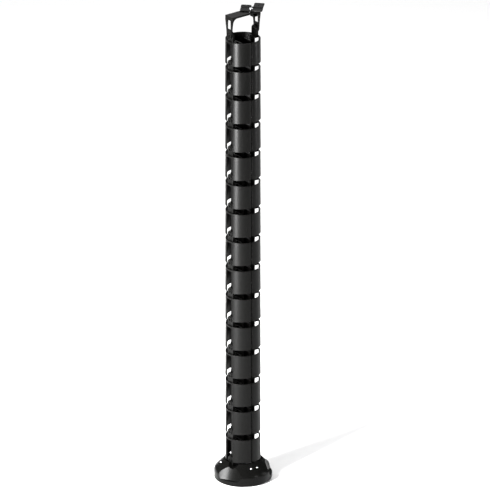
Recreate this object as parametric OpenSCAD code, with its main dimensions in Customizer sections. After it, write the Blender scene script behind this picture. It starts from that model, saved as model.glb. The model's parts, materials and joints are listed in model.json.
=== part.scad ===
// Cable spine for a height-adjustable desk: a weighted foot, a chain of hinged
// link rings and a yoke with a swivelling desk bracket. Millimetres, +Z up,
// origin under the middle of the foot. All link pivots are parallel to X.

/* [Spine] */
// Number of link rings
ring_count = 15; // [6:1:15]
// Height from one ring to the next
pitch = 79; // [78:0.5:90]
// Height of a ring's wall
ring_h = 65; // [60:1:66]
// Radius of a ring at its lower edge
ring_r = 46.5; // [45.5:0.1:48]
// How much narrower a ring's radius is at its rim
ring_taper = 0.8; // [0:0.1:1]
// Thickness of a ring's wall
wall = 3; // [2.5:0.1:3]

/* [Links] */
// Height of a pivot above the lower edge of the ring that turns on it
pivot_z = 3; // [2:0.5:4]
// Width of an ear
ear_w = 22; // [18:1:22]
// Distance from the middle to an ear's inner face
ear_x = 36; // [35:0.1:36]
// Thickness of an ear
ear_t = 6; // [4:0.1:6]
// Width of the window that an ear works in
window_w = 26; // [26:0.5:30]
// Height of the hoop that closes a window at the rim
hoop_h = 4; // [3:0.5:5]
// Width of the slit that cables are pushed in through
slit_w = 3; // [2:0.1:5]
// Turn of the slits from the middle between the ears
slit_turn = -8; // [-12:1:0]
// Radius of a rivet's shank
rivet_r = 5; // [4:0.1:5]
// Running clearance of a rivet in an ear, on the radius
rivet_play = 0.05; // [0.02:0.01:0.1]

/* [Foot] */
// Radius of the foot
foot_r = 76; // [75:1:80]
// Height of the foot's seat for the lowest ring
foot_h = 55; // [54:1:56]
// Thickness of the cover
cover_t = 3; // [2.5:0.1:3]
// Radius of the hollow of a scoop in the foot's flank
scoop_r = 150; // [120:10:300]
// Radius of the cable channel above a scoop
channel_r = 14; // [13:0.5:15]
// Thickness of the steel base plate
plate_t = 6; // [4:0.5:6]
// Thickness of the rubber grip ring
grip_t = 2; // [1.5:0.5:3]

/* [Yoke] */
// Height of the yoke's top over the top ring's rim
yoke_rise = 70; // [68:1:74]
// Depth of the yoke's bar
bar_h = 5; // [4:0.5:7]
// Width of the yoke along Y
yoke_w = 30; // [28:1:32]
// Thickness of the yoke's legs
leg_t = 4; // [4:0.1:5]
// Reach of the bracket's longer prong from its bolt
prong_long = 39; // [38:1:39]
// Reach of the bracket's shorter prong from its bolt
prong_short = 22; // [22:1:30]
// Turn of the bracket about its bolt, as stored
bracket_turn = -46; // [-60:1:0]

/* [Hidden] */
$fn = 96;
ring_names = [for (i = [1:ring_count]) str("vertebra_", i < 10 ? "0" : "", i)];
rivet_names = [for (i = [1:ring_count + 1]) str("rivets_", i < 10 ? "0" : "", i)];

black = [0.07, 0.07, 0.075];
dark_steel = [0.2, 0.2, 0.21];
bright_steel = [0.75, 0.76, 0.78];
rubber = [0.05, 0.05, 0.05];

rim_r = ring_r - ring_taper;
edge = 0.8;
ear_r = ear_w / 2;
ear_top_x = ear_x + ear_t;
leg_x = ear_top_x + 0.3;
lug_t = 5.7;
lug_x = ear_x - 0.3 - lug_t;
lug_r = 9;
rib_t = 3;
post_w = 10;
web_low = pivot_z + 9;
web_top = 46;
stub_x = 15;
stub_y = 14;
skirt_rise = 3.3;
skirt_start = 12;
head_t = 1.5;
head_r = 7.2;
rivet_bore = 3;
seat_play = 0.02;
link_gap = pitch - ring_h;
rim_z = foot_h + (ring_count - 1) * pitch + ring_h;
yoke_pivot_z = rim_z + link_gap + pivot_z;
yoke_top = rim_z + yoke_rise;
cone_rise = 28.5;
floor_gap = 1;
rim_arc = 17;
scoop_angles = [for (k = [0:2]) 90 + slit_turn + 120 * k];
land_angles = [for (k = [0:2]) 30 + slit_turn + 120 * k];
scoop_low = [68, 14.7];
scoop_slope = 71;
channel_seat = [46.5, 45];
channel_slope = 8;
plate_z = grip_t + plate_t;
block_top = 30;
screw_seat = 32;
head_seat = 12.3;
spot_r = 57.5;
swivel_x = 26;
sheet_t = 2.5;
deck_lift = 1.2;
prong_lift = 2.8;

function ring_z(i) = foot_h + i * pitch;
function pivot_height(i) = ring_z(i) + pivot_z;
function arc(cx, cy, r, from, to, n) =
    [for (k = [0:n]) let (a = from + (to - from) * k / n) [cx + r * cos(a), cy + r * sin(a)]];

// Wall of one ring as an outline in radius and height, with rounded edges.
module ring_outline() {
    polygon(concat(
        [[ring_r - wall, edge / 2], [ring_r - wall + edge / 2, 0]],
        arc(ring_r - edge, edge, edge, -90, 0, 3),
        arc(rim_r - edge, ring_h - edge, edge, 0, 90, 3),
        arc(rim_r - wall + edge, ring_h - edge, edge, 90, 180, 3)
    ));
}

// Both sides of a shape that sits on +X.
module both_sides() {
    children();
    mirror([1, 0, 0]) children();
}

// Both halves of a shape that sits on +Y.
module front_and_back() {
    children();
    mirror([0, 1, 0]) children();
}

// Box between two x values, centred on Y, from z0 to z1.
module block(x0, x1, width, z0, z1) {
    translate([x0, -width / 2, z0]) cube([x1 - x0, width, z1 - z0]);
}

// Cylinder along X between two x values.
module pin_x(x0, x1, r, z, fn = 64) {
    translate([x0, 0, z]) rotate([0, 90, 0]) cylinder(h = x1 - x0, r = r, $fn = fn);
}

// Ear with a round top on +X, its hole at height z and its root at root_z.
module ear(z, root_z) {
    difference() {
        union() {
            pin_x(ear_x, ear_top_x, ear_r, z);
            block(ear_x, ear_top_x, ear_w, root_z, z);
        }
        pin_x(ear_x - 1, ear_top_x + 1, rivet_r + rivet_play, z);
    }
}

// Post on +X that hangs from the shelf and ends in the lug for the rivet.
module lug_post() {
    difference() {
        union() {
            pin_x(lug_x, lug_x + lug_t, lug_r, pivot_z);
            block(lug_x, lug_x + lug_t, 2 * lug_r, pivot_z, pivot_z + ear_r);
            block(lug_x, lug_x + lug_t, post_w, pivot_z, ring_h - hoop_h + 1);
        }
        pin_x(lug_x - 1, lug_x + lug_t + 1, rivet_r + seat_play, pivot_z);
    }
}

// Slit through the wall on +Y, flared at its lower end.
module slit() {
    flare = 3;
    translate([0, ring_r + 2, 0])
        rotate([90, 0, 0])
            linear_extrude(wall + 6)
                polygon([
                    [-slit_w / 2 - flare, -1],
                    [slit_w / 2 + flare, -1],
                    [slit_w / 2, flare + 2],
                    [slit_w / 2, ring_h + 1],
                    [-slit_w / 2, ring_h + 1],
                    [-slit_w / 2, flare + 2]
                ]);
}

// Wedge that lifts the lower edge towards +Y, so that the link can bend.
module skirt_cut() {
    run = ring_r - skirt_start;
    translate([-ring_r - 1, 0, 0])
        rotate([90, 0, 90])
            linear_extrude(2 * ring_r + 2)
                polygon([
                    [skirt_start, -1],
                    [skirt_start, 0],
                    [ring_r + 2, skirt_rise * (run + 2) / run],
                    [ring_r + 2, -1]
                ]);
}

// One link ring, its lower edge at height 0.
module link_ring() {
    difference() {
        rotate_extrude() ring_outline();
        both_sides() block(lug_x, ring_r + 1, window_w, -1, ring_h - hoop_h);
        rotate([0, 0, slit_turn]) {
            mirror([0, 1, 0]) slit();
            front_and_back() skirt_cut();
        }
    }
    intersection() {
        both_sides() block(lug_x, ring_r, window_w, ring_h - hoop_h, ring_h - edge);
        translate([0, 0, ring_h - hoop_h]) cylinder(h = hoop_h, r = rim_r - wall / 2);
    }
    both_sides() ear(pitch + pivot_z, ring_h - hoop_h);
    both_sides() lug_post();
    block(-lug_x - 2, lug_x + 2, rib_t, web_low, web_top);
    block(-lug_x + 5, lug_x - 5, rib_t, pivot_z + 1, web_low + 1);
    both_sides()
        block(stub_x - rib_t / 2, stub_x + rib_t / 2, 2 * stub_y, pivot_z + 4, ring_h - 7);
}

module vertebra(i) {
    color(black) translate([0, 0, ring_z(i)]) link_ring();
}

// Pair of hollow rivets on the pivot axis at height z, their heads outside x0 and x1.
module rivet_pair(z, x0, x1) {
    color(black)
        both_sides()
            difference() {
                union() {
                    pin_x(x0, x1, rivet_r, z);
                    pin_x(x1, x1 + head_t, head_r, z);
                    pin_x(x0 - head_t, x0, head_r, z);
                }
                pin_x(x0 - head_t - 1, x1 + head_t + 1, rivet_bore, z);
            }
}

// Outline of the foot's cover, set in by t, from its axis to its skin.
module foot_outline(t) {
    lip = 2.5;
    top = foot_h - t;
    arc_z = cone_rise - rim_arc * (sqrt(2) - 1);
    underside = t > 0
        ? [[0, 0], [foot_r - t, 0]]
        : concat([[0, floor_gap]], arc(foot_r - lip, floor_gap + lip, lip, -90, 0, 4));
    polygon(concat(
        underside,
        arc(foot_r - rim_arc, arc_z, rim_arc - t, 0, 45, 8),
        [[foot_r + cone_rise - t * sqrt(2) - top, top], [0, top]]
    ));
}

// Hollow of one scoop on +X, enlarged by t: a wide bar along the flank above a ledge.
module scoop(t) {
    reach = 140;
    intersection() {
        translate([scoop_low[0], 0, scoop_low[1]])
            rotate([0, scoop_slope - 90, 0])
                translate([scoop_r, 0, -reach / 2])
                    cylinder(h = reach, r = scoop_r + t, $fn = 256);
        block(0, 2 * foot_r, 2 * foot_r, scoop_low[1] - t, 2 * foot_h);
    }
}

// Channel on +X that leads cables from under the lowest ring to the scoop, enlarged by t.
module channel(t) {
    translate([channel_seat[0], 0, channel_seat[1] + channel_r])
        rotate([0, 90 + channel_slope, 0])
            translate([0, 0, -20])
                cylinder(h = 60, r = channel_r + t, $fn = 96);
}

// The foot's solid shape, set in by t, with its scoops and channels.
module foot_body(t) {
    difference() {
        rotate_extrude($fn = 128) foot_outline(t);
        for (a = scoop_angles)
            rotate([0, 0, a]) {
                scoop(t);
                channel(t);
            }
    }
}

module foot_cover() {
    boss_r = 4;
    color(black)
        difference() {
            union() {
                difference() {
                    foot_body(0);
                    foot_body(cover_t);
                }
                intersection() {
                    for (a = land_angles)
                        screw_spots(a) cylinder(h = foot_h - screw_seat, r = boss_r, $fn = 32);
                    foot_body(0);
                }
            }
            translate([0, 0, -1]) cylinder(h = foot_h + 2, r = ring_r - 2.3);
            for (a = land_angles)
                screw_spots(a) {
                    translate([0, 0, -6]) cylinder(h = 40, r = 1.9, $fn = 32);
                    translate([0, 0, head_seat]) cylinder(h = 20, r = 3.4, $fn = 32);
                }
        }
}

// The two cover screws on one land, from the top of the ballast up.
module screw_spots(a) {
    spread = 9;
    for (s = [-spread, spread])
        rotate([0, 0, a + s]) translate([spot_r, 0, screw_seat]) children();
}

module cover_screws() {
    color(bright_steel)
        for (a = land_angles)
            screw_spots(a) {
                translate([0, 0, -8]) cylinder(h = 8 + head_seat, r = 1.6, $fn = 32);
                translate([0, 0, head_seat]) cylinder(h = 2.6, r = 3.1, $fn = 32);
            }
}

module base_plate() {
    color(dark_steel)
        difference() {
            translate([0, 0, grip_t]) cylinder(h = plate_t, r = foot_r - cover_t - 0.5);
            base_screw_spots() cylinder(h = 20, r = 2.3, center = true, $fn = 32);
            base_screw_spots() translate([0, 0, -1]) cylinder(h = 4, r = 4.6, $fn = 32);
        }
}

// Places of the screws through the base plate, at its underside.
module base_screw_spots() {
    for (x = [-28, 28], y = [-6, 6]) translate([x, y, grip_t]) children();
    for (a = land_angles) rotate([0, 0, a]) translate([60, 0, grip_t]) children();
}

module base_screws() {
    color(bright_steel)
        base_screw_spots()
            translate([0, 0, 0.2]) {
                cylinder(h = 2.6, r = 4.2, $fn = 32);
                cylinder(h = 10.5, r = 2, $fn = 32);
            }
}

module ballast_ring() {
    color(dark_steel)
        difference() {
            translate([0, 0, plate_z]) cylinder(h = block_top - plate_z, r = foot_r - cover_t - 5);
            translate([0, 0, plate_z - 1]) cylinder(h = block_top, r = ring_r);
            for (a = scoop_angles) rotate([0, 0, a]) scoop(cover_t + 1);
            for (a = land_angles)
                screw_spots(a) translate([0, 0, -9]) cylinder(h = 20, r = 1.7, $fn = 32);
            base_screw_spots() cylinder(h = 30, r = 2.1, center = true, $fn = 32);
        }
}

module grip_ring() {
    color(rubber)
        difference() {
            cylinder(h = grip_t, r = foot_r - 4);
            translate([0, 0, -1]) cylinder(h = grip_t + 2, r = 66);
        }
}

// Cradle on the base plate whose two ears carry the lowest ring.
module neck_bracket() {
    strap_t = 5;
    pivot = pivot_height(0);
    color(black)
        difference() {
            union() {
                both_sides() ear(pivot, plate_z);
                block(-ear_top_x, ear_top_x, ear_w, plate_z, plate_z + strap_t);
            }
            base_screw_spots() cylinder(h = 30, r = 2.1, center = true, $fn = 32);
        }
}

// One leg of the yoke on +X: a tapered strap with a tapered slot and a sunk rivet seat.
module yoke_leg() {
    end_r = 9.5;
    slot_low = rim_z + 34;
    slot_high = yoke_top - 10;
    low_w = 22;
    difference() {
        union() {
            pin_x(leg_x, leg_x + leg_t, end_r, yoke_pivot_z);
            translate([leg_x, 0, 0])
                rotate([90, 0, 90])
                    linear_extrude(leg_t)
                        polygon([
                            [-end_r, yoke_pivot_z],
                            [end_r, yoke_pivot_z],
                            [low_w / 2, slot_low],
                            [yoke_w / 2, slot_high],
                            [yoke_w / 2, yoke_top],
                            [-yoke_w / 2, yoke_top],
                            [-yoke_w / 2, slot_high],
                            [-low_w / 2, slot_low]
                        ]);
        }
        translate([leg_x - 1, 0, 0])
            rotate([90, 0, 90])
                linear_extrude(leg_t + 2)
                    polygon([[-8, slot_low], [8, slot_low], [7, slot_high], [-7, slot_high]]);
        pin_x(leg_x - 1, leg_x + leg_t + 1, rivet_r + seat_play, yoke_pivot_z);
        pin_x(leg_x + leg_t - head_t, leg_x + leg_t + 1, head_r + 0.4, yoke_pivot_z);
    }
}

// Fillet under the bar's end on +X.
module bar_fillet() {
    r = 12;
    z = yoke_top - bar_h;
    difference() {
        block(leg_x - r, leg_x + 1, yoke_w, z - r, z + 1);
        translate([leg_x - r, 0, z - r])
            rotate([90, 0, 0])
                cylinder(h = yoke_w + 2, r = r, center = true);
        block(leg_x - r - 1, leg_x + 2, 14, z - r - 1, z - 2);
    }
}

module yoke() {
    boss_r = 8;
    color(black)
        difference() {
            union() {
                both_sides() yoke_leg();
                block(-leg_x - leg_t, leg_x + leg_t, yoke_w, yoke_top - bar_h, yoke_top);
                both_sides() bar_fillet();
                pin_z(swivel_x, boss_r, yoke_top - bar_h - 3, yoke_top - 1);
            }
            pin_z(swivel_x, 3.1, yoke_top - bar_h - 4, yoke_top + 1);
            pin_z(swivel_x, 5.8, yoke_top - bar_h - 4, yoke_top - bar_h + 0.5);
        }
}

// Cylinder along Z at x, from z0 to z1.
module pin_z(x, r, z0, z1) {
    translate([x, 0, z0]) cylinder(h = z1 - z0, r = r, $fn = 48);
}

// Outline of the bracket from above: a deck on the bolt and two prongs, corners cut off.
module bracket_outline() {
    c = 3;
    polygon([
        [-27.5 + c, -11],
        [30.5 - c, -11],
        [30.5, -11 + c],
        [30.5, prong_long - c],
        [30.5 - c, prong_long],
        [4.5 + c, prong_long],
        [4.5, prong_long - c],
        [4.5, 11 + c],
        [1.75, 11],
        [-1, 11 + c],
        [-1, prong_short - c],
        [-1 - c, prong_short],
        [-27.5 + c, prong_short],
        [-27.5, prong_short - c],
        [-27.5, -11 + c]
    ]);
}

// Side view of the bracket's sheet: the deck low, the prongs stepped up.
module bracket_profile() {
    rotate([90, 0, 90])
        translate([0, 0, -40])
            linear_extrude(80)
                polygon([
                    [-12, 0],
                    [7.5, 0],
                    [11, prong_lift],
                    [60, prong_lift],
                    [60, prong_lift + sheet_t],
                    [10, prong_lift + sheet_t],
                    [6.5, sheet_t],
                    [-12, sheet_t]
                ]);
}

module desk_bracket() {
    holes = [[17.5, prong_long - 7], [17.5, prong_long - 20], [-20.5, 16.5], [-8, 16.5]];
    color(black)
        translate([swivel_x, 0, yoke_top + deck_lift])
            rotate([0, 0, bracket_turn])
                difference() {
                    intersection() {
                        linear_extrude(10) bracket_outline();
                        bracket_profile();
                    }
                    translate([0, 0, -1]) cylinder(h = 10, r = 3.05, $fn = 48);
                    for (p = holes)
                        translate([p[0], p[1], -1]) cylinder(h = 10, r = 2.25, $fn = 48);
                }
}

module swivel_washer() {
    color(bright_steel)
        difference() {
            pin_z(swivel_x, 7, yoke_top, yoke_top + deck_lift);
            pin_z(swivel_x, 3.2, yoke_top - 1, yoke_top + deck_lift + 1);
        }
}

module swivel_bolt() {
    color(bright_steel) {
        pin_z(swivel_x, 3, yoke_top - bar_h - 2, yoke_top + deck_lift + sheet_t + 0.3);
        pin_z(swivel_x, 5.5, yoke_top - bar_h - 2.9, yoke_top - bar_h + 0.5);
        pin_z(swivel_x, 5.2, yoke_top + deck_lift + sheet_t + 0.1, yoke_top + deck_lift + sheet_t + 2.6);
    }
}

foot_cover();
base_plate();
ballast_ring();
grip_ring();
neck_bracket();
base_screws();
cover_screws();
yoke();
desk_bracket();
swivel_bolt();
swivel_washer();
for (i = [0:ring_count - 1])
    vertebra(i);
for (i = [0:ring_count - 1])
    rivet_pair(pivot_height(i), lug_x, ear_top_x + 0.3);
rivet_pair(yoke_pivot_z, ear_x - 0.3, leg_x + leg_t - head_t);
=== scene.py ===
"""Studio scene of a desk cable spine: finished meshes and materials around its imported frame."""
import json
import logging
import math
from dataclasses import dataclass, field
from enum import Enum
from typing import Iterable, Sequence

import bmesh
import bpy
from mathutils import Matrix, Vector


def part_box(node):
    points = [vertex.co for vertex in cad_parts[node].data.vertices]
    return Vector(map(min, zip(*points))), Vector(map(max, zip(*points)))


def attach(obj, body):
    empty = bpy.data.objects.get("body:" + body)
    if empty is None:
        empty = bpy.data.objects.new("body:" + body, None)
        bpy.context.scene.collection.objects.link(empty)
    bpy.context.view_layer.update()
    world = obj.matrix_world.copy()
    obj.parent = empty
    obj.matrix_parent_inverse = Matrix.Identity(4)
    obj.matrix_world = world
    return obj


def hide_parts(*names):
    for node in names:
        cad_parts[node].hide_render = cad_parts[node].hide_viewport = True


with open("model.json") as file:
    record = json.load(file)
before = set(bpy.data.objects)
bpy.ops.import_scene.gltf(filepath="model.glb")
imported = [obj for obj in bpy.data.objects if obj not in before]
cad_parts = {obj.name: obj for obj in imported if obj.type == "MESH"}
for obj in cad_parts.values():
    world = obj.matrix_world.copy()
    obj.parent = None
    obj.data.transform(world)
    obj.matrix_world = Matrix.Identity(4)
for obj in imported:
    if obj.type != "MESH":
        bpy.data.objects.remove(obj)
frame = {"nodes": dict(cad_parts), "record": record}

LOG = logging.getLogger("cable_spine")
MM = 0.001
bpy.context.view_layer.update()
THROUGH = 60 * MM  # half length of a cutter that passes right through along X

BALLAST = next(node for node in frame["nodes"] if node.startswith("ballast"))
TOP_RIVETS = max(node for node in frame["nodes"] if node.startswith("rivets_"))

Point2 = tuple[float, float]


class Axis(Enum):
    """Direction that an outline is extruded or a shape is turned along."""

    X = "x"
    Y = "y"
    Z = "z"


# ---------- mesh tools


def place(axis: Axis, u: float, v: float, w: float) -> Vector:
    """Turns outline coordinates into a point.

    Args:
        axis: The direction the outline is extruded along.
        u: First outline coordinate (Y for X, X for Y and Z).
        v: Second outline coordinate (Z for X and Y, Y for Z).
        w: Distance along the axis.

    Returns:
        The point in the frame, in metres.
    """
    if axis is Axis.X:
        return Vector((w, u, v))
    if axis is Axis.Y:
        return Vector((u, w, v))
    return Vector((u, v, w))


def arc(cu: float, cv: float, r: float, start: float, stop: float, steps: int) -> list[Point2]:
    """Points along an arc, both ends included.

    Args:
        cu: First coordinate of the centre.
        cv: Second coordinate of the centre.
        r: Radius.
        start: First angle in degrees.
        stop: Last angle in degrees.
        steps: Number of straight steps.

    Returns:
        The points.
    """
    turns = [math.radians(start + (stop - start) * k / steps) for k in range(steps + 1)]
    return [(cu + r * math.cos(t), cv + r * math.sin(t)) for t in turns]


def rounded_box(u0: float, u1: float, v0: float, v1: float, r: float, steps: int = 5) -> list[Point2]:
    """Outline of a rectangle with round corners, counter-clockwise."""
    return (
        arc(u1 - r, v0 + r, r, -90, 0, steps)
        + arc(u1 - r, v1 - r, r, 0, 90, steps)
        + arc(u0 + r, v1 - r, r, 90, 180, steps)
        + arc(u0 + r, v0 + r, r, 180, 270, steps)
    )


def round_corners(points: Sequence[Point2], radius: float, steps: int = 4) -> list[Point2]:
    """Rounds every corner of a closed outline.

    Args:
        points: The corners, in order.
        radius: Radius of the rounding.
        steps: Number of steps across a corner.

    Returns:
        The rounded outline.
    """
    rounded: list[Point2] = []
    count = len(points)
    for k in range(count):
        here = Vector(points[k])
        back = Vector(points[k - 1]) - here
        ahead = Vector(points[(k + 1) % count]) - here
        half = back.angle(ahead) / 2
        reach = min(radius / math.tan(half), back.length * 0.45, ahead.length * 0.45)
        start = here + back.normalized() * reach
        stop = here + ahead.normalized() * reach
        for n in range(steps + 1):
            t = n / steps
            point = start * (1 - t) ** 2 + here * 2 * t * (1 - t) + stop * t**2
            rounded.append((point.x, point.y))
    return rounded


def to_object(bm: bmesh.types.BMesh, name: str) -> bpy.types.Object:
    """Closes a bmesh into a linked object with outward normals."""
    bmesh.ops.remove_doubles(bm, verts=bm.verts, dist=1e-6)
    bmesh.ops.recalc_face_normals(bm, faces=bm.faces)
    mesh = bpy.data.meshes.new(name)
    bm.to_mesh(mesh)
    bm.free()
    piece = bpy.data.objects.new(name, mesh)
    bpy.context.scene.collection.objects.link(piece)
    return piece


def prism(name: str, outline: Sequence[Point2], axis: Axis, start: float, stop: float) -> bpy.types.Object:
    """Extrudes a closed outline.

    Args:
        name: Name of the new object.
        outline: Corner points of the outline.
        axis: Direction of the extrusion.
        start: Where it starts on the axis.
        stop: Where it stops.

    Returns:
        The closed object.
    """
    bm = bmesh.new()
    low = [bm.verts.new(place(axis, u, v, start)) for u, v in outline]
    high = [bm.verts.new(place(axis, u, v, stop)) for u, v in outline]
    count = len(outline)
    bm.faces.new(low)
    bm.faces.new(reversed(high))
    for k in range(count):
        n = (k + 1) % count
        bm.faces.new((low[k], high[k], high[n], low[n]))
    return to_object(bm, name)


def lathe(
    name: str,
    outline: Sequence[Point2],
    axis: Axis,
    steps: int,
    centre: Sequence[float] = (0, 0, 0),
) -> bpy.types.Object:
    """Turns a closed outline of (radius, height) about an axis.

    Args:
        name: Name of the new object.
        outline: Points as (radius, height); radius 0 lies on the axis.
        axis: The axis to turn about.
        steps: Number of steps round.
        centre: A point that the axis goes through.

    Returns:
        The closed object.
    """
    bm = bmesh.new()
    base = Vector(centre)
    rings: list[list[bmesh.types.BMVert]] = []
    for r, h in outline:
        if r < 1e-9:
            rings.append([bm.verts.new(base + place(axis, 0, 0, h))] * steps)
            continue
        ring = []
        for k in range(steps):
            t = math.tau * k / steps
            ring.append(bm.verts.new(base + place(axis, r * math.cos(t), r * math.sin(t), h)))
        rings.append(ring)
    # place() keeps the outline's two coordinates off the axis, so the height is always last
    for a, b in zip(rings, rings[1:] + rings[:1]):
        for k in range(steps):
            n = (k + 1) % steps
            corners = list(dict.fromkeys((a[k], b[k], b[n], a[n])))
            if len(corners) > 2:
                bm.faces.new(corners)
    return to_object(bm, name)


def drop(piece: bpy.types.Object) -> None:
    """Removes a helper object and its mesh."""
    mesh = piece.data
    bpy.data.objects.remove(piece)
    bpy.data.meshes.remove(mesh)


def moved(piece: bpy.types.Object, *steps: Matrix) -> bpy.types.Object:
    """Moves a piece's mesh by matrices, the last one first."""
    whole = Matrix.Identity(4)
    for step in steps:
        whole = whole @ step
    piece.data.transform(whole)
    return piece


def turn(degrees: float, axis: Axis) -> Matrix:
    """Rotation about one of the frame's axes."""
    return Matrix.Rotation(math.radians(degrees), 4, axis.name)


def around(radius: float, degrees: float, z: float) -> Vector:
    """Point at a radius, an angle and a height."""
    t = math.radians(degrees)
    return Vector((radius * math.cos(t), radius * math.sin(t), z))


def merged(name: str, pieces: Iterable[bpy.types.Object]) -> bpy.types.Object:
    """Puts separate closed pieces into one object; the pieces are used up."""
    bm = bmesh.new()
    for piece in pieces:
        bm.from_mesh(piece.data)
        drop(piece)
    return to_object(bm, name)


def rod(
    radius: float,
    start: float,
    stop: float,
    axis: Axis = Axis.Z,
    centre: Sequence[float] = (0, 0, 0),
    steps: int = 48,
) -> bpy.types.Object:
    """Makes a plain bar that cuts a round hole or adds a boss.

    Args:
        radius: Its radius.
        start: Where it starts on its axis.
        stop: Where it stops.
        axis: Its axis.
        centre: A point on the axis.
        steps: Number of steps round.

    Returns:
        The bar.
    """
    return lathe("rod", [(0, start), (radius, start), (radius, stop), (0, stop)], axis, steps, centre)


def upright(radius: float, start: float, stop: float, places: Iterable[Vector]) -> list[bpy.types.Object]:
    """Makes an upright bar at every place.

    Args:
        radius: Radius of the bars.
        start: Height where they start.
        stop: Height where they stop.
        places: Where they stand.

    Returns:
        The bars.
    """
    return [rod(radius, start, stop, centre=(p.x, p.y, 0), steps=32) for p in places]


def cross_bore(radius: float, z: float) -> bpy.types.Object:
    """Makes the bar that bores right through along X at a height."""
    return rod(radius, -THROUGH, THROUGH, Axis.X, (0, 0, z), 64)


def settle(piece: bpy.types.Object) -> bpy.types.Object:
    """Applies every modifier of a piece to its mesh."""
    bpy.context.view_layer.update()
    graph = bpy.context.evaluated_depsgraph_get()
    old = piece.data
    new = bpy.data.meshes.new_from_object(piece.evaluated_get(graph))
    piece.modifiers.clear()
    piece.data = new
    bpy.data.meshes.remove(old)
    return piece


def combine(piece: bpy.types.Object, others: Iterable[bpy.types.Object], operation: str) -> bpy.types.Object:
    """Joins or cuts a piece with others, which are used up.

    Args:
        piece: The piece that stays.
        others: The pieces to add, cut away or keep in common.
        operation: UNION, DIFFERENCE or INTERSECT.

    Returns:
        The piece.
    """
    others = list(others)
    for other in others:
        step = piece.modifiers.new("solid", "BOOLEAN")
        step.operation = operation
        step.solver = "EXACT"
        step.object = other
    settle(piece)
    for other in others:
        drop(other)
    return piece


def soften(piece: bpy.types.Object, width: float, segments: int = 3, angle: float = 32.0) -> bpy.types.Object:
    """Rounds a piece's sharp edges, as a mould or a press leaves them.

    Args:
        piece: The piece.
        width: Width of the rounding, in metres.
        segments: Number of steps across it.
        angle: Edges sharper than this many degrees are rounded.

    Returns:
        The piece.
    """
    step = piece.modifiers.new("edge", "BEVEL")
    step.width = width
    step.segments = segments
    step.limit_method = "ANGLE"
    step.angle_limit = math.radians(angle)
    step.use_clamp_overlap = True
    step.miter_outer = "MITER_ARC"
    return settle(piece)


def tidy_faces(piece: bpy.types.Object) -> bpy.types.Object:
    """Merges flat neighbours and near double points that a boolean leaves."""
    bm = bmesh.new()
    bm.from_mesh(piece.data)
    bmesh.ops.remove_doubles(bm, verts=bm.verts, dist=2e-6)
    bmesh.ops.dissolve_degenerate(bm, edges=bm.edges, dist=2e-6)
    bmesh.ops.dissolve_limit(
        bm, angle_limit=math.radians(0.3), verts=bm.verts, edges=bm.edges, use_dissolve_boundaries=False
    )
    bm.to_mesh(piece.data)
    bm.free()
    return piece


def shade(piece: bpy.types.Object, sharp: float = 50.0) -> bpy.types.Object:
    """Smooth shading with flat faces kept flat.

    Args:
        piece: The piece.
        sharp: Edges sharper than this many degrees stay sharp.

    Returns:
        The piece.
    """
    mesh = piece.data
    mesh.shade_smooth()
    mesh.set_sharp_from_angle(angle=math.radians(sharp))
    step = piece.modifiers.new("normals", "WEIGHTED_NORMAL")
    step.keep_sharp = True
    return settle(piece)


# ---------- finishes


class NodeTree:
    """A material's or a group's nodes, added and linked by short calls."""

    def __init__(self, tree: bpy.types.NodeTree) -> None:
        """Keeps the tree."""
        self.tree = tree

    def add(self, kind: str, **values: object) -> bpy.types.Node:
        """Adds a node.

        Args:
            kind: The node's type name.
            **values: Socket names with underscores for spaces, or attributes, and their values.

        Returns:
            The node.
        """
        node = self.tree.nodes.new(kind)
        for key, value in values.items():
            if hasattr(node, key):
                setattr(node, key, value)
            else:
                node.inputs[key.replace("_", " ")].default_value = value
        return node

    def link(self, source: bpy.types.NodeSocket, target: bpy.types.NodeSocket) -> None:
        """Joins two sockets."""
        self.tree.links.new(source, target)

    def blend(self, factor: bpy.types.NodeSocket, low: float, high: float) -> bpy.types.NodeSocket:
        """Maps a factor of 0 to 1 onto a range of values.

        Args:
            factor: The factor.
            low: Value at 0.
            high: Value at 1.

        Returns:
            The mapped value.
        """
        node = self.add("ShaderNodeMapRange", To_Min=low, To_Max=high)
        self.link(factor, node.inputs["Value"])
        return node.outputs["Result"]


def new_group(
    name: str, inputs: dict[str, float], outputs: Sequence[str]
) -> tuple[NodeTree, bpy.types.Node, bpy.types.Node]:
    """Makes an empty shader node group of plain values.

    Args:
        name: The group's name.
        inputs: Input names and their first values.
        outputs: Output names.

    Returns:
        The group's nodes, its input node and its output node.
    """
    tree = bpy.data.node_groups.new(name, "ShaderNodeTree")
    for key, value in inputs.items():
        socket = tree.interface.new_socket(key, in_out="INPUT", socket_type="NodeSocketFloat")
        socket.default_value = value
    for key in outputs:
        tree.interface.new_socket(key, in_out="OUTPUT", socket_type="NodeSocketFloat")
    nodes = NodeTree(tree)
    return nodes, nodes.add("NodeGroupInput"), nodes.add("NodeGroupOutput")


def moulded_skin_group() -> bpy.types.NodeTree:
    """Fine spark-eroded grain of a moulded part.

    Returns:
        A group with the input Grain Scale and the output Grain.
    """
    nodes, start, end = new_group("MouldedSkin", {"Grain Scale": 1800.0}, ("Grain",))
    place_node = nodes.add("ShaderNodeTexCoord")
    grain = nodes.add("ShaderNodeTexNoise", Detail=3.0, Roughness=0.6)
    nodes.link(place_node.outputs["Object"], grain.inputs["Vector"])
    nodes.link(start.outputs["Grain Scale"], grain.inputs["Scale"])
    nodes.link(grain.outputs["Fac"], end.inputs["Grain"])
    return nodes.tree


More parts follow.
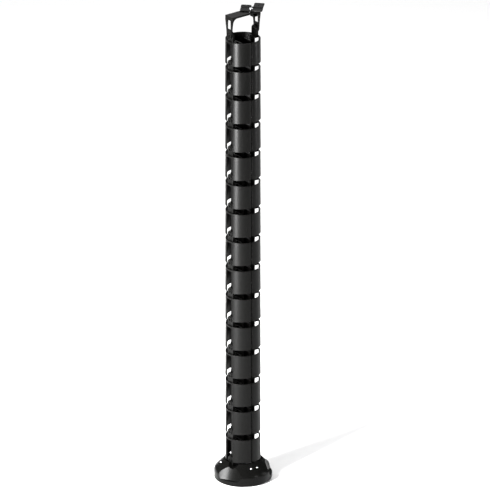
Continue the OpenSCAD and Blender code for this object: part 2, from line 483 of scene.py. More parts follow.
def handling_group() -> bpy.types.NodeTree:
    """Soft smears and sparse dust that handling and standing leave.

    Returns:
        A group with inputs Smear Scale and Dust Scale and outputs Smear and Dust.
    """
    nodes, start, end = new_group("Handling", {"Smear Scale": 14.0, "Dust Scale": 900.0}, ("Smear", "Dust"))
    place_node = nodes.add("ShaderNodeTexCoord")
    stretch = nodes.add("ShaderNodeMapping")
    stretch.inputs["Scale"].default_value = (1.0, 1.0, 0.35)
    nodes.link(place_node.outputs["Object"], stretch.inputs["Vector"])
    smear = nodes.add("ShaderNodeTexNoise", Detail=5.0, Roughness=0.62, Distortion=0.8)
    nodes.link(stretch.outputs["Vector"], smear.inputs["Vector"])
    nodes.link(start.outputs["Smear Scale"], smear.inputs["Scale"])
    ramp = nodes.add("ShaderNodeMapRange", From_Min=0.42, From_Max=0.72)
    nodes.link(smear.outputs["Fac"], ramp.inputs["Value"])
    dust = nodes.add("ShaderNodeTexNoise", Detail=2.0, Roughness=0.7)
    nodes.link(place_node.outputs["Object"], dust.inputs["Vector"])
    nodes.link(start.outputs["Dust Scale"], dust.inputs["Scale"])
    specks = nodes.add("ShaderNodeMapRange", From_Min=0.66, From_Max=0.78)
    nodes.link(dust.outputs["Fac"], specks.inputs["Value"])
    nodes.link(ramp.outputs["Result"], end.inputs["Smear"])
    nodes.link(specks.outputs["Result"], end.inputs["Dust"])
    return nodes.tree


class EffectLibrary:
    """Shader groups that several finishes share, each built once."""

    def __init__(self) -> None:
        """Builds the groups."""
        self.skin = moulded_skin_group()
        self.handling = handling_group()

    def use(self, nodes: NodeTree, group: bpy.types.NodeTree, **values: float) -> bpy.types.Node:
        """Places a group in a material.

        Args:
            nodes: The material's nodes.
            group: The group.
            **values: Input values, with underscores for spaces.

        Returns:
            The group's node.
        """
        return nodes.add("ShaderNodeGroup", node_tree=group, **values)


@dataclass(frozen=True)
class Finish:
    """A surface finish made of a Principled shader and the shared effects."""

    name: str
    slot: str
    colour: tuple[float, float, float]
    dust_colour: tuple[float, float, float] = (0.16, 0.16, 0.165)
    roughness: float = 0.35
    smear_gain: float = 0.08
    metallic: float = 0.0
    specular: float = 0.5
    grain_scale: float = 1800.0
    grain_height: float = 0.00002
    dust: float = 0.25

    def material(self, effects: EffectLibrary) -> bpy.types.Material:
        """Builds the material.

        Args:
            effects: The shared shader groups.

        Returns:
            The material.
        """
        made = bpy.data.materials.new(self.name)
        made.use_nodes = True
        nodes = NodeTree(made.node_tree)
        shader = made.node_tree.nodes["Principled BSDF"]
        shader.inputs["Metallic"].default_value = self.metallic
        shader.inputs["Specular IOR Level"].default_value = self.specular
        skin = effects.use(nodes, effects.skin, Grain_Scale=self.grain_scale)
        marks = effects.use(nodes, effects.handling)
        tint = nodes.add("ShaderNodeMix", data_type="RGBA")
        tint.inputs["A"].default_value = (*self.colour, 1.0)
        tint.inputs["B"].default_value = (*self.dust_colour, 1.0)
        dusty = nodes.add("ShaderNodeMath", operation="MULTIPLY")
        nodes.link(marks.outputs["Dust"], dusty.inputs[0])
        dusty.inputs[1].default_value = self.dust
        nodes.link(dusty.outputs[0], tint.inputs["Factor"])
        nodes.link(tint.outputs["Result"], shader.inputs["Base Color"])
        nodes.link(
            nodes.blend(marks.outputs["Smear"], self.roughness, self.roughness + self.smear_gain),
            shader.inputs["Roughness"],
        )
        height = nodes.add("ShaderNodeMath", operation="MULTIPLY")
        nodes.link(skin.outputs["Grain"], height.inputs[0])
        height.inputs[1].default_value = self.grain_height
        bump = nodes.add("ShaderNodeBump", Strength=1.0, Distance=1.0)
        nodes.link(height.outputs[0], bump.inputs["Height"])
        nodes.link(bump.outputs["Normal"], shader.inputs["Normal"])
        return made


SPINE_PLASTIC = Finish(
    "spine_plastic", "spine_black", (0.0015, 0.0015, 0.0014), roughness=0.3, smear_gain=0.05, specular=0.06,
    dust_colour=(0.005, 0.005, 0.005), grain_height=0.000008,
)
FOOT_PLASTIC = Finish(
    "foot_plastic", "foot_black", (0.0015, 0.0015, 0.0014), roughness=0.22, smear_gain=0.06, specular=0.05,
    dust_colour=(0.005, 0.005, 0.005), grain_height=0.000004,
)
CAST_BLACK = Finish(
    "cast_black", "ballast_steel", (0.03, 0.03, 0.032), roughness=0.55, metallic=0.1,
    grain_scale=600.0, grain_height=0.00006,
)
ZINC = Finish(
    "zinc", "screw_steel", (0.62, 0.63, 0.65), dust_colour=(0.3, 0.3, 0.3), roughness=0.24, metallic=1.0,
    grain_scale=2400.0, grain_height=0.000006, dust=0.15,
)
GRIP_RUBBER = Finish(
    "grip_rubber", "grip_rubber", (0.02, 0.02, 0.02), roughness=0.8, specular=0.3, grain_scale=1200.0,
    grain_height=0.00004, dust=0.4,
)
POWDER_COAT = Finish(
    "powder_coat", "bracket_black", (0.005, 0.005, 0.005), roughness=0.5, specular=0.1, grain_scale=420.0,
    dust_colour=(0.015, 0.015, 0.015), grain_height=0.00012,
)


class Workshop:
    """Dresses pieces, joins them to their bodies and reports them."""

    def __init__(self) -> None:
        """Starts with no materials made."""
        self.effects = EffectLibrary()
        self.made: dict[str, bpy.types.Material] = {}
        self.body_of = {
            node: body for body, nodes in frame["record"]["behaviour"]["bodies"].items() for node in nodes
        }

    def material(self, finish: Finish) -> bpy.types.Material:
        """Gives the material of a finish, made once."""
        if finish.name not in self.made:
            self.made[finish.name] = finish.material(self.effects)
        return self.made[finish.name]

    def dress(self, piece: bpy.types.Object, finish: Finish) -> None:
        """Puts one finish on a whole piece."""
        piece.data.materials.clear()
        piece.data.materials.append(self.material(finish))

    def deliver(self, piece: bpy.types.Object, node: str, finish: Finish) -> None:
        """Lets a finished piece stand for a CAD node.

        Args:
            piece: The piece, in place.
            node: The CAD node it replaces.
            finish: Its finish.
        """
        self.dress(piece, finish)
        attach(piece, self.body_of[node])
        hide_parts(node)
        LOG.info("%s stands for %s, %d faces", piece.name, node, len(piece.data.polygons))


# ---------- link rings


@dataclass
class LinkRing:
    """One moulded ring of the spine and the pair of rivets it turns on."""

    radius: float = 46.5 * MM
    taper: float = 0.8 * MM
    wall: float = 3 * MM
    height: float = 65 * MM
    pitch: float = 79 * MM
    pivot: float = 3 * MM
    window: float = 26 * MM
    hoop: float = 4 * MM
    slit: float = 3 * MM
    flare: float = 3 * MM
    skirt_rise: float = 3.3 * MM
    skirt_start: float = 12 * MM
    ear_width: float = 22 * MM
    ear_in: float = 36 * MM
    ear_out: float = 42 * MM
    lug_in: float = 30 * MM
    turned: float = -8.0
    lug_out: float = 35.7 * MM
    lug_radius: float = 9 * MM
    rib: float = 3 * MM
    post: float = 10 * MM
    web_low: float = 12 * MM
    web_top: float = 46 * MM
    stub_x: float = 15 * MM
    stub_y: float = 14 * MM
    rivet: float = 5 * MM
    rivet_bore: float = 3 * MM
    rivet_head: float = 7.2 * MM
    head_thick: float = 1.5 * MM
    step_deg: float = 2.5

    def half_angle(self, width: float) -> float:
        """Half the angle, in degrees, that a gap of this width takes in the wall."""
        return math.degrees(math.asin(width / 2 / (self.radius - self.wall / 2)))

    def angles(self) -> list[float]:
        """Angles of the wall's grid, with lines at the window and slit edges.

        Returns:
            Angles in degrees from 0 to 360, ascending.
        """
        gaps = ((0, self.window), (180, self.window), (270 + self.turned, self.slit))
        marks = sorted({(c + s * self.half_angle(width)) % 360 for c, width in gaps for s in (-1, 1)})
        angles: list[float] = []
        for here, after in zip(marks, marks[1:] + [marks[0] + 360]):
            count = max(1, round((after - here) / self.step_deg))
            angles += [here + (after - here) * k / count for k in range(count)]
        return angles

    def wall_piece(self) -> bpy.types.Object:
        """Builds the wall with its windows, slit and lifted lower edge."""
        bm = bmesh.new()
        angles = self.angles()
        flare_top = self.flare + 2 * MM
        rise = self.height - self.hoop - flare_top
        rows = [0.0, flare_top] + [flare_top + rise * k / 6 for k in range(1, 7)] + [self.height]
        half_window = self.half_angle(self.window)
        half_slit = self.half_angle(self.slit)
        run = self.radius - self.skirt_start

        def near(angle: float, centre: float, period: float = 360) -> float:
            """Signed difference from the nearest centre of a row that repeats."""
            return (angle - centre + period / 2) % period - period / 2

        def vertex(angle: float, row: int) -> bmesh.types.BMVert:
            """A point of the outer skin."""
            z = rows[row]
            r = self.radius - self.taper * z / self.height
            off = near(angle, 270 + self.turned)
            if row == 0 and abs(abs(off) - half_slit) < 1e-3:
                angle += math.copysign(math.degrees(self.flare / r), off)
            y = abs(r * math.sin(math.radians(angle - self.turned)))
            if row == 0:
                z = max(0.0, self.skirt_rise * (y - self.skirt_start) / run)
            t = math.radians(angle)
            return bm.verts.new((r * math.cos(t), r * math.sin(t), z))

        grid = [[vertex(a, row) for row in range(len(rows))] for a in angles]
        for k, a in enumerate(angles):
            n = (k + 1) % len(angles)
            after = angles[n] + (360 if n == 0 else 0)
            middle = (a + after) / 2
            if abs(near(middle, 270 + self.turned)) < half_slit:
                continue
            open_below = abs(near(middle, 0, 180)) < half_window
            for row in range(len(rows) - 1):
                if open_below and rows[row + 1] < self.height - 1e-6:
                    continue
                bm.faces.new((grid[k][row], grid[n][row], grid[n][row + 1], grid[k][row + 1]))
        loose = [v for v in bm.verts if not v.link_faces]
        bmesh.ops.delete(bm, geom=loose, context="VERTS")
        piece = to_object(bm, "wall")
        mesh = piece.data
        if mesh.polygons[0].normal.dot(mesh.polygons[0].center * Vector((1, 1, 0))) < 0:
            mesh.flip_normals()
        thick = piece.modifiers.new("thick", "SOLIDIFY")
        thick.thickness = self.wall
        thick.offset = -1
        settle(piece)
        return soften(piece, 0.7 * MM, 3)

    def ear(self, side: int) -> bpy.types.Object:
        """Builds one ear with its hole and a shallow moulded recess.

        Args:
            side: 1 for +X, -1 for -X.

        Returns:
            The ear.
        """
        half = self.ear_width / 2
        top = self.pitch + self.pivot
        root = self.height - self.hoop
        outline = [(-half, root), (half, root)] + arc(0, top, half, 0, 180, 32)
        ear = prism("ear", outline, Axis.X, side * self.ear_in, side * self.ear_out)
        hole = cross_bore(self.rivet + 0.05 * MM, top)
        panel = rounded_box(-6 * MM, 6 * MM, self.height + 1.5 * MM, top - 9.5 * MM, 1.8 * MM)
        deep, clear = self.ear_out - 0.8 * MM, self.ear_out + 1 * MM
        recess = prism("recess", panel, Axis.X, side * deep, side * clear)
        combine(ear, (hole, recess), "DIFFERENCE")
        return soften(ear, 0.5 * MM, 3)

    def lug_post(self, side: int) -> bpy.types.Object:
        """Builds the post that hangs from the shelf and ends in the rivet's lug.

        Args:
            side: 1 for +X, -1 for -X.

        Returns:
            The post.
        """
        r, half, top = self.lug_radius, self.post / 2, self.pivot + self.ear_width / 2
        outline = arc(0, self.pivot, r, 180, 360, 28) + round_corners(
            [(r, top), (half, top + 2 * MM), (half, self.height - self.hoop + 1 * MM),
             (-half, self.height - self.hoop + 1 * MM), (-half, top + 2 * MM), (-r, top)], 1.5 * MM)
        post = prism("post", outline, Axis.X, side * self.lug_in, side * self.lug_out)
        hole = cross_bore(self.rivet + 0.02 * MM, self.pivot)
        combine(post, (hole,), "DIFFERENCE")
        return soften(post, 0.4 * MM, 2)

    def frame_piece(self) -> list[bpy.types.Object]:
        """Builds the middle web, its stub ribs and the shelves under the ears."""
        shelf_z = self.height - self.hoop
        half = self.lug_in + 2 * MM
        foot = self.lug_in - 5 * MM
        outline = [(-half, self.web_low), (-foot, self.web_low), (-foot, self.pivot + 1 * MM),
                   (foot, self.pivot + 1 * MM), (foot, self.web_low), (half, self.web_low),
                   (half, self.web_top), (-half, self.web_top)]
        web = prism("web", outline, Axis.Y, -self.rib / 2, self.rib / 2)
        pieces = [soften(web, 0.4 * MM, 2)]
        for x in (-self.stub_x, self.stub_x):
            section = rounded_box(x - self.rib / 2, x + self.rib / 2, -self.stub_y, self.stub_y, 1 * MM)
            stub = prism("stub", section, Axis.Z, self.pivot + 4 * MM, self.height - 7 * MM)
            pieces.append(soften(stub, 0.4 * MM, 2))
        reach = self.radius - self.taper - self.wall / 2
        angle = math.degrees(math.asin(self.window / 2 / reach))
        for side in (-1, 1):
            edge = arc(0, 0, reach, -angle, angle, 10)
            outline = [(side * x, y) for x, y in edge] + [(side * self.lug_in, self.window / 2),
                                                         (side * self.lug_in, -self.window / 2)]
            shelf = prism("shelf", outline, Axis.Z, shelf_z, self.height - 0.8 * MM)
            pieces.append(soften(shelf, 0.4 * MM, 2))
        return pieces

    def ring_mesh(self) -> bpy.types.Mesh:
        """Builds the whole ring once, its lower edge at height 0."""
        parts = self.frame_piece()
        for side in (-1, 1):
            parts.append(self.ear(side))
            parts.append(self.lug_post(side))
        ring = combine(self.wall_piece(), parts, "UNION")
        shade(tidy_faces(ring))
        mesh = ring.data
        bpy.data.objects.remove(ring)
        return mesh

    def rivet_mesh(self, inner: float, outer: float) -> bpy.types.Mesh:
        """Builds a pair of hollow rivets with rolled heads, their axis at height 0.

        Args:
            inner: Distance from the middle to the underside of the inner heads.
            outer: Distance from the middle to the underside of the outer heads.

        Returns:
            The mesh of both rivets.
        """
        roll = 0.6 * MM
        low, high = inner - self.head_thick, outer + self.head_thick
        outline = (
            [(self.rivet_bore, low + roll), (self.rivet_bore + roll, low)]
            + arc(self.rivet_head - roll, low + roll, roll, -90, 0, 4)
            + [(self.rivet_head, inner), (self.rivet, inner), (self.rivet, outer), (self.rivet_head, outer)]
            + arc(self.rivet_head - roll, high - roll, roll, 0, 90, 4)
            + arc(self.rivet_bore + roll, high - roll, roll, 90, 180, 4)
        )
        both = [lathe("rivet", [(r, s * h) for r, h in outline], Axis.X, 48) for s in (1, -1)]
        pair = merged("rivet_pair", both)
        shade(pair, 40)
        mesh = pair.data
        bpy.data.objects.remove(pair)
        return mesh


@dataclass
class Spine:
    """All rings and rivets, placed on the frame's pivots."""

    link: LinkRing = field(default_factory=LinkRing)

    def build(self, shop: Workshop) -> None:
        """Places a copy of the ring and of the rivets at every level.

        Args:
            shop: Dresses and joins the pieces.
        """
        link = self.link
        ring = link.ring_mesh()
        rivets = link.rivet_mesh(link.lug_in, link.ear_out + 0.3 * MM)
        top_rivets = link.rivet_mesh(link.lug_out, link.ear_out + 2.8 * MM)
        for node in sorted(n for n in frame["nodes"] if n.startswith("vertebra_")):
            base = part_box(node)[1].z - (link.pitch + link.pivot + link.ear_width / 2)
            self.place(shop, ring, node, base)
        for node in sorted(n for n in frame["nodes"] if n.startswith("rivets_")):
            low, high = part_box(node)
            mesh = top_rivets if node == TOP_RIVETS else rivets
            self.place(shop, mesh, node, (low.z + high.z) / 2)

    def place(self, shop: Workshop, mesh: bpy.types.Mesh, node: str, height: float) -> None:
        """Puts one copy of a mesh at a height in place of a node."""
        piece = bpy.data.objects.new(f"{node}_shell", mesh)
        piece.location = (0, 0, height)
        bpy.context.scene.collection.objects.link(piece)
        shop.deliver(piece, node, SPINE_PLASTIC)


# ---------- foot


@dataclass
class Foot:
    """Weighted foot: cover with cable scoops, steel inside, screws and grip ring."""

    radius: float = 76 * MM
    height: float = 55 * MM
    cover: float = 3 * MM
    cone_rise: float = 28.5 * MM
    rim_arc: float = 17 * MM
    lip: float = 4.5 * MM
    gap: float = 1 * MM
    collar: float = 44.2 * MM
    ring: float = 46.5 * MM
    scoop_radius: float = 150 * MM
    scoop_slope: float = 71.0
    scoop_low: Point2 = (68 * MM, 14.7 * MM)
    channel_radius: float = 14 * MM
    channel_slope: float = 8.0
    channel_low: float = 45 * MM
    scoop_angles: tuple[float, ...] = (82.0, 202.0, 322.0)
    land_angles: tuple[float, ...] = (22.0, 142.0, 262.0)
    spread: float = 9.0
    spot_radius: float = 57.5 * MM
    screw_seat: float = 32 * MM
    head_seat: float = 12.3 * MM
    plate_low: float = 2 * MM
    plate_top: float = 8 * MM
    block_top: float = 30 * MM

    def skin(self, inset: float) -> bpy.types.Object:
        """Builds the foot's solid shape with its scoops.

        Args:
            inset: How far inside the outer skin.

        Returns:
            The solid.
        """
        arc_z = self.cone_rise - self.rim_arc * (math.sqrt(2) - 1)
        if inset:
            under = [(0.0, 0.0), (self.radius - inset, 0.0)]
        else:
            under = [(0.0, self.gap)] + arc(self.radius - self.lip, self.gap + self.lip, self.lip, -90, 0, 6)
        top = self.height - inset
        slope_end = self.radius + self.cone_rise - inset * math.sqrt(2) - top
        outline = (
            under
            + arc(self.radius - self.rim_arc, arc_z, self.rim_arc - inset, 0, 45, 12)
            + [(slope_end, top), (0.0, top)]
        )
        body = lathe("foot", outline, Axis.Z, 144)
        for angle in self.scoop_angles:
            combine(body, (self.scoop(angle, inset), self.channel(angle, inset)), "DIFFERENCE")
        return body

    def scoop(self, angle: float, inset: float) -> bpy.types.Object:
        """Makes the wide bar that hollows one scoop above its ledge."""
        x, z = self.scoop_low
        section = arc(self.scoop_radius, 0, self.scoop_radius + inset, 150, 210, 40)
        bar = prism("scoop", section, Axis.Z, -70 * MM, 70 * MM)
        moved(bar, Matrix.Translation((x, 0, z)), turn(self.scoop_slope - 90, Axis.Y))
        far = 2 * self.radius
        half_plane = [(0, -far), (far, -far), (far, far), (0, far)]
        above = prism("above", half_plane, Axis.Z, z - inset, 2 * self.height)
        return moved(combine(bar, (above,), "INTERSECT"), turn(angle, Axis.Z))

    def channel(self, angle: float, inset: float) -> bpy.types.Object:
        """Makes the bar that hollows one cable channel under the lowest ring."""
        bar = rod(self.channel_radius + inset, -20 * MM, 40 * MM, steps=72)
        seat = Matrix.Translation((self.ring, 0, self.channel_low + self.channel_radius))
        return moved(bar, turn(angle, Axis.Z), seat, turn(90 + self.channel_slope, Axis.Y))

    def spots(self) -> list[Vector]:
        """Places of the cover screws, at the top of the ballast."""
        turns = [land + off for land in self.land_angles for off in (-self.spread, self.spread)]
        return [around(self.spot_radius, t, self.screw_seat) for t in turns]

    def base_spots(self) -> list[Vector]:
        """Places of the screws through the base plate, at its underside."""
        places = [Vector((x * MM, y * MM, self.plate_low)) for x in (-28, 28) for y in (-6, 6)]
        return places + [around(60 * MM, land, self.plate_low) for land in self.land_angles]

    def cover_piece(self) -> bpy.types.Object:
        """Builds the moulded cover with its screw seats and ring seat."""
        shell = combine(self.skin(0.0), (self.skin(self.cover),), "DIFFERENCE")
        bosses = merged("bosses", upright(4 * MM, self.screw_seat, self.height + 5 * MM, self.spots()))
        # the bosses end inside the wall, so that no face lies on the cover's own skin
        combine(shell, (combine(bosses, (self.skin(1 * MM),), "INTERSECT"),), "UNION")
        combine(shell, (rod(self.collar, -10 * MM, 70 * MM, steps=144),), "DIFFERENCE")
        seat_z = self.screw_seat + self.head_seat
        shank, head, above = 1.9 * MM, 3.4 * MM, 70 * MM
        stepped = [(0, 0), (shank, 0), (shank, seat_z), (head, seat_z), (head, above), (0, above)]
        for place in self.spots():
            bore = moved(lathe("bore", stepped, Axis.Z, 32), Matrix.Translation((place.x, place.y, 0)))
            combine(shell, (bore,), "DIFFERENCE")
        return shade(soften(tidy_faces(shell), 0.9 * MM, 3, 26), 60)

    def pan_screw(self, head: float, rise: float, shank: float, length: float) -> bpy.types.Object:
        """Builds a pan-head screw with a cross recess, its head's seat at height 0.

        Args:
            head: Radius of the head.
            rise: Height of the head.
            shank: Radius of the shank.
            length: Length of the shank.

        Returns:
            The screw.
        """
        point = -length + shank * 0.7
        outline = [(0.0, -length), (shank * 0.6, -length), (shank, point), (shank, 0.0), (head, 0.0)]
        outline += arc(head - rise * 0.7, rise * 0.3, rise * 0.7, 0, 82, 7) + [(0.0, rise)]
        screw = lathe("screw", outline, Axis.Z, 40)
        arm, thin = head * 0.58, head * 0.13
        for across in (Axis.X, Axis.Y):
            box = [(-arm, rise * 0.35), (arm, rise * 0.35), (arm, rise * 1.2), (-arm, rise * 1.2)]
            combine(screw, (prism("cross", box, across, -thin, thin),), "DIFFERENCE")
        return screw

    def cover_screws(self) -> bpy.types.Object:
        """Builds the six cover screws, each turned a little differently."""
        screws = []
        for k, spot in enumerate(self.spots()):
            screw = self.pan_screw(3.1 * MM, 2.6 * MM, 1.6 * MM, self.head_seat + 8 * MM)
            seat = Matrix.Translation(spot + Vector((0, 0, self.head_seat)))
            screws.append(moved(screw, seat, turn(37 * k, Axis.Z)))
        return shade(merged("cover_screws_set", screws), 35)

    def base_screws(self) -> bpy.types.Object:
        """Builds the seven screws through the base plate, heads down."""
        screws = []
        for k, spot in enumerate(self.base_spots()):
            screw = self.pan_screw(4.2 * MM, 2.6 * MM, 2 * MM, 7.9 * MM)
            seat = Matrix.Translation(spot + Vector((0, 0, 2.8 * MM)))
            screws.append(moved(screw, seat, turn(180, Axis.X), turn(23 * k, Axis.Z)))
        return shade(merged("base_screws_set", screws), 35)

    def plate(self) -> bpy.types.Object:
        """Builds the steel base plate."""
        r = self.radius - self.cover - 0.5 * MM
        outline = [(0, self.plate_low), (r, self.plate_low), (r, self.plate_top), (0, self.plate_top)]
        plate = lathe("plate", outline, Axis.Z, 128)
        cuts = []
        for p in self.base_spots():
            cuts.append(rod(2.3 * MM, -5 * MM, 20 * MM, centre=(p.x, p.y, 0), steps=32))
            cuts.append(rod(4.6 * MM, -5 * MM, p.z + 3 * MM, centre=(p.x, p.y, 0), steps=32))
        combine(plate, cuts, "DIFFERENCE")
        return shade(soften(tidy_faces(plate), 0.4 * MM, 2), 40)

    def ballast(self) -> bpy.types.Object:
        """Builds the cast ballast between the scoops."""
        r, low, high = self.radius - self.cover - 5 * MM, self.plate_top, self.block_top
        outline = [(self.ring, low), (r, low), (r, high), (self.ring, high)]
        ring = lathe("ballast", outline, Axis.Z, 128)
        cuts = [self.scoop(a, self.cover + 1 * MM) for a in self.scoop_angles]
        cuts += upright(1.7 * MM, self.screw_seat - 9 * MM, self.screw_seat + 11 * MM, self.spots())
        cuts += upright(2.1 * MM, -13 * MM, 17 * MM, self.base_spots())
        combine(ring, cuts, "DIFFERENCE")
        return shade(soften(tidy_faces(ring), 0.7 * MM, 2), 45)

    def grip(self) -> bpy.types.Object:
        """Builds the rubber grip ring."""
        outline = rounded_box(66 * MM, self.radius - 4 * MM, 0.0, self.plate_low, 0.7 * MM)
        return shade(lathe("grip", outline, Axis.Z, 128))

    def neck(self) -> bpy.types.Object:
        """Builds the cradle whose two ears carry the lowest ring."""
        low, top, half = self.plate_top, self.height + 3 * MM, 11 * MM
        out, inside = 42 * MM, 36 * MM
        portal = [(-out, low), (out, low), (out, top + half), (inside, top + half), (inside, low + 5 * MM),
                  (-inside, low + 5 * MM), (-inside, top + half), (-out, top + half)]
        body = prism("neck", portal, Axis.Y, -half, half)
        flank = [(-half, low - MM), (half, low - MM)] + arc(0, top, half, 0, 180, 32)
        side = prism("side", flank, Axis.X, -50 * MM, 50 * MM)
        combine(body, (side,), "INTERSECT")
        cuts = [cross_bore(5.05 * MM, top)]
        cuts += upright(2.1 * MM, -13 * MM, 17 * MM, self.base_spots()[:4])
        combine(body, cuts, "DIFFERENCE")
        return shade(soften(tidy_faces(body), 0.6 * MM, 2), 45)

    def build(self, shop: Workshop) -> None:
        """Builds every piece of the foot.

        Args:
            shop: Dresses and joins the pieces.
        """
        shop.deliver(self.cover_piece(), "foot_cover", FOOT_PLASTIC)
        shop.deliver(self.cover_screws(), "cover_screws", ZINC)
        shop.deliver(self.base_screws(), "base_screws", ZINC)
        shop.deliver(self.plate(), "base_plate", CAST_BLACK)
        shop.deliver(self.ballast(), BALLAST, CAST_BLACK)
        shop.deliver(self.grip(), "grip_ring", GRIP_RUBBER)
        shop.deliver(self.neck(), "neck_bracket", SPINE_PLASTIC)


# ---------- yoke


@dataclass
class Head:
    """Yoke on the top ring and the desk bracket that turns on it."""

    top: float
    pivot: float
    bar: float = 5 * MM
    width: float = 30 * MM
    leg_in: float = 42.3 * MM
    leg_thick: float = 4 * MM
    end_radius: float = 9.5 * MM
    low_width: float = 22 * MM
    slot_low: float = 17 * MM
    slot_high: float = 10 * MM
    fillet: float = 12 * MM
    swivel: float = 26 * MM
    lift: float = 1.2 * MM
    turned: float = -46.0
    sheet: float = 2.5 * MM
    step: float = 2.8 * MM
    long_prong: float = 39 * MM
    short_prong: float = 22 * MM

    def yoke(self) -> bpy.types.Object:
        """Builds the U-shaped yoke with its slots, seats and boss."""
        low = self.pivot - self.end_radius
        leg_out = self.leg_in + self.leg_thick
        under = self.top - self.bar
        corner = arc(self.leg_in - self.fillet, under - self.fillet, self.fillet, 0, 90, 10)
        right = [(self.leg_in, low - MM)] + corner
        portal = [(leg_out, low - MM), (leg_out, self.top), (-leg_out, self.top), (-leg_out, low - MM)]
        portal += [(-x, z) for x, z in right] + right[::-1]
        body = prism("yoke", portal, Axis.Y, -self.width / 2, self.width / 2)
        slot_low, slot_high = self.pivot + self.slot_low, self.top - self.slot_high
        half = self.width / 2
        right = [(self.low_width / 2, slot_low), (half, slot_high), (half, self.top + MM)]
        flank = arc(0, self.pivot, self.end_radius, 180, 360, 28) + right + [(-y, z) for y, z in right[::-1]]
        combine(body, (prism("flank", flank, Axis.X, -THROUGH, THROUGH),), "INTERSECT")
        combine(body, (rod(8 * MM, under - 3 * MM, self.top - MM, centre=(self.swivel, 0, 0)),), "UNION")
        cuts = [rod(3.1 * MM, under - 10 * MM, self.top + 5 * MM, centre=(self.swivel, 0, 0)),
                rod(5.8 * MM, under - 10 * MM, under + 0.5 * MM, centre=(self.swivel, 0, 0)),
                cross_bore(5.02 * MM, self.pivot)]
        corners = [(-8 * MM, slot_low), (8 * MM, slot_low), (7 * MM, slot_high), (-7 * MM, slot_high)]
        slot = round_corners(corners, 2 * MM)
        for side in (-1, 1):
            reach = self.leg_in - self.fillet - MM
            cuts.append(prism("slot", slot, Axis.X, side * reach, side * THROUGH))
            box = [(-7 * MM, under - self.fillet - MM), (7 * MM, under - self.fillet - MM),
                   (7 * MM, under - 2 * MM), (-7 * MM, under - 2 * MM)]
            cuts.append(prism("pocket", box, Axis.X, side * reach, side * self.leg_in))
            seat = side * (leg_out - 1.5 * MM)
            cuts.append(rod(7.6 * MM, seat, side * THROUGH, Axis.X, (0, 0, self.pivot), 64))
        combine(body, cuts, "DIFFERENCE")
        return shade(soften(tidy_faces(body), 0.6 * MM, 3), 50)

    def bracket(self) -> bpy.types.Object:
        """Builds the stepped sheet bracket with its two prongs."""
        far, near = self.long_prong / MM, self.short_prong / MM
        plan = [(-27.5, -11), (30.5, -11), (30.5, far), (4.5, far),
                (4.5, 11), (-1, 11), (-1, near), (-27.5, near)]
        plan = round_corners([(u * MM, v * MM) for u, v in plan], 3.2 * MM, 5)
        low, high = self.step, self.step + self.sheet
        side = [(-12 * MM, 0.0), (7.5 * MM, 0.0), (11 * MM, low), (60 * MM, low),
                (60 * MM, high), (10 * MM, high), (6.5 * MM, self.sheet), (-12 * MM, self.sheet)]
        body = prism("bracket", round_corners(side, 1.2 * MM, 3), Axis.X, -40 * MM, 40 * MM)
        combine(body, (prism("plan", plan, Axis.Z, -5 * MM, 15 * MM),), "INTERSECT")
        holes = [(17.5 * MM, self.long_prong - 7 * MM), (17.5 * MM, self.long_prong - 20 * MM),
                 (-20.5 * MM, 16.5 * MM), (-8 * MM, 16.5 * MM)]
        cuts = [rod(2.25 * MM, -5 * MM, 15 * MM, centre=(u, v, 0)) for u, v in holes]
        cuts.append(rod(3.05 * MM, -5 * MM, 15 * MM))
        combine(body, cuts, "DIFFERENCE")
        soften(tidy_faces(body), 0.35 * MM, 2, 50)
        seat = Matrix.Translation((self.swivel, 0, self.top + self.lift))
        return shade(moved(body, seat, turn(self.turned, Axis.Z)), 40)

    def bolt(self) -> bpy.types.Object:
        """Builds the swivel bolt, with a hexagon socket below and a riveted end above."""
        low = self.top - self.bar - 2.9 * MM
        seat = self.top - self.bar + 0.5 * MM
        high = self.top + self.lift + self.sheet + 0.1 * MM
        outline = [(0.0, low), (4.2 * MM, low), (5.1 * MM, low + 0.4 * MM), (5.5 * MM, low + 1.2 * MM),
                   (5.5 * MM, seat), (3 * MM, seat), (3 * MM, high), (5.2 * MM, high),
                   (5.2 * MM, high + 1.1 * MM)]
        outline += arc(3.8 * MM, high + 1.1 * MM, 1.4 * MM, 0, 90, 6)[1:] + [(0.0, high + 2.5 * MM)]
        bolt = lathe("bolt", outline, Axis.Z, 48)
        socket = prism("socket", arc(0, 0, 2.6 * MM, 0, 300, 5), Axis.Z, low - MM, low + 1.8 * MM)
        combine(bolt, (socket,), "DIFFERENCE")
        return shade(moved(bolt, Matrix.Translation((self.swivel, 0, 0))), 35)

    def washer(self) -> bpy.types.Object:
        """Builds the washer between the yoke and the bracket."""
        section = rounded_box(3.2 * MM, 7 * MM, self.top, self.top + self.lift, 0.25 * MM)
        return shade(lathe("washer", section, Axis.Z, 48, (self.swivel, 0, 0)))

    def build(self, shop: Workshop) -> None:
        """Builds the yoke, the bracket and the bolt between them.

        Args:
            shop: Dresses and joins the pieces.
        """
        shop.deliver(self.yoke(), "yoke", SPINE_PLASTIC)
        shop.deliver(self.bracket(), "desk_bracket", POWDER_COAT)
        shop.deliver(self.bolt(), "swivel_bolt", ZINC)
        shop.deliver(self.washer(), "swivel_washer", ZINC)


# ---------- studio


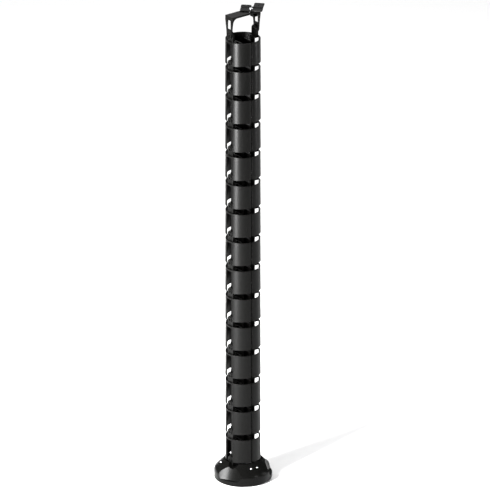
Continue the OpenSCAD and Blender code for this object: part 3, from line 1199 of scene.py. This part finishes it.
@dataclass
class Studio:
    """Floor, world, lights and camera."""

    azimuth: float = -38.0
    elevation: float = 21.9
    distance: float = 40.0
    focal_px: float = 15440.0
    aim_height: float = 0.6508
    aim_right: float = 0.0053
    frame_px: int = 490
    sensor: float = 36.0

    def direction(self, azimuth: float, elevation: float) -> Vector:
        """Unit vector from the object towards a place in the studio."""
        a, e = math.radians(azimuth), math.radians(elevation)
        return Vector((math.sin(a) * math.cos(e), -math.cos(a) * math.cos(e), math.sin(e)))

    def aim(self, item: bpy.types.Object, target: Vector) -> None:
        """Points a camera or a light at a target."""
        item.rotation_euler = (target - item.location).to_track_quat("-Z", "Y").to_euler()

    def camera(self) -> None:
        """Sets the camera at the wanted angle."""
        data = bpy.data.cameras.new("camera")
        data.sensor_width = self.sensor
        data.lens = self.sensor * self.focal_px / self.frame_px
        data.clip_end = 100.0
        item = bpy.data.objects.new("camera", data)
        a = math.radians(self.azimuth)
        target = Vector((math.cos(a), math.sin(a), 0.0)) * self.aim_right
        target += Vector((0.0, 0.0, self.aim_height))
        item.location = target + self.direction(self.azimuth, self.elevation) * self.distance
        bpy.context.scene.collection.objects.link(item)
        self.aim(item, target)
        bpy.context.scene.camera = item

    def light(
        self, name: str, azimuth: float, height: float, distance: float, size: Point2, power: float
    ) -> None:
        """Adds a soft rectangular light aimed at the spine.

        Args:
            name: Name of the light.
            azimuth: Its direction, as for the camera.
            height: Height of its middle over the floor.
            distance: Its distance from the spine's axis.
            size: Width and height.
            power: Power in watts.
        """
        data = bpy.data.lights.new(name, "AREA")
        data.shape = "RECTANGLE"
        data.size, data.size_y = size
        data.energy = power
        item = bpy.data.objects.new(name, data)
        item.location = self.direction(azimuth, 0.0) * distance + Vector((0.0, 0.0, height))
        bpy.context.scene.collection.objects.link(item)
        self.aim(item, Vector((0.0, 0.0, 0.6)))

    def floor(self) -> None:
        """Lays a plain pale floor."""
        half = 30.0
        bm = bmesh.new()
        square = ((-half, -half), (half, -half), (half, half), (-half, half))
        bm.faces.new([bm.verts.new((x, y, 0.0)) for x, y in square])
        floor = to_object(bm, "floor")
        material = bpy.data.materials.new("floor")
        material.use_nodes = True
        shader = material.node_tree.nodes["Principled BSDF"]
        shader.inputs["Base Color"].default_value = (0.9, 0.9, 0.9, 1.0)
        shader.inputs["Roughness"].default_value = 0.9
        floor.data.materials.append(material)

    def world(self) -> None:
        """Sets a plain pale surround."""
        world = bpy.data.worlds.new("surround")
        world.use_nodes = True
        bpy.context.scene.world = world
        shade_node = world.node_tree.nodes["Background"]
        shade_node.inputs["Color"].default_value = (1.0, 1.0, 1.0, 1.0)
        shade_node.inputs["Strength"].default_value = 0.3

    def build(self) -> None:
        """Makes the whole studio."""
        self.camera()
        self.world()
        self.floor()
        self.light("key", -81.0, 0.95, 2.2, (0.5, 1.85), 520.0)
        self.light("strip_near", 17.0, 0.8, 2.4, (0.1, 1.5), 20.0)
        self.light("strip_far", 58.0, 0.8, 2.4, (0.1, 1.5), 20.0)
        self.light("ceiling", 142.0, 4.0, 1.5, (6.0, 6.0), 170.0)
        bpy.context.scene.view_settings.view_transform = "Standard"


def main() -> None:
    logging.basicConfig(level=logging.INFO, format="%(message)s")
    Studio().build()
    shop = Workshop()
    Spine().build(shop)
    Foot().build(shop)
    rivet_low, rivet_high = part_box(TOP_RIVETS)
    Head(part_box("yoke")[1].z, (rivet_low.z + rivet_high.z) / 2).build(shop)


if __name__ == "__main__":
    main()
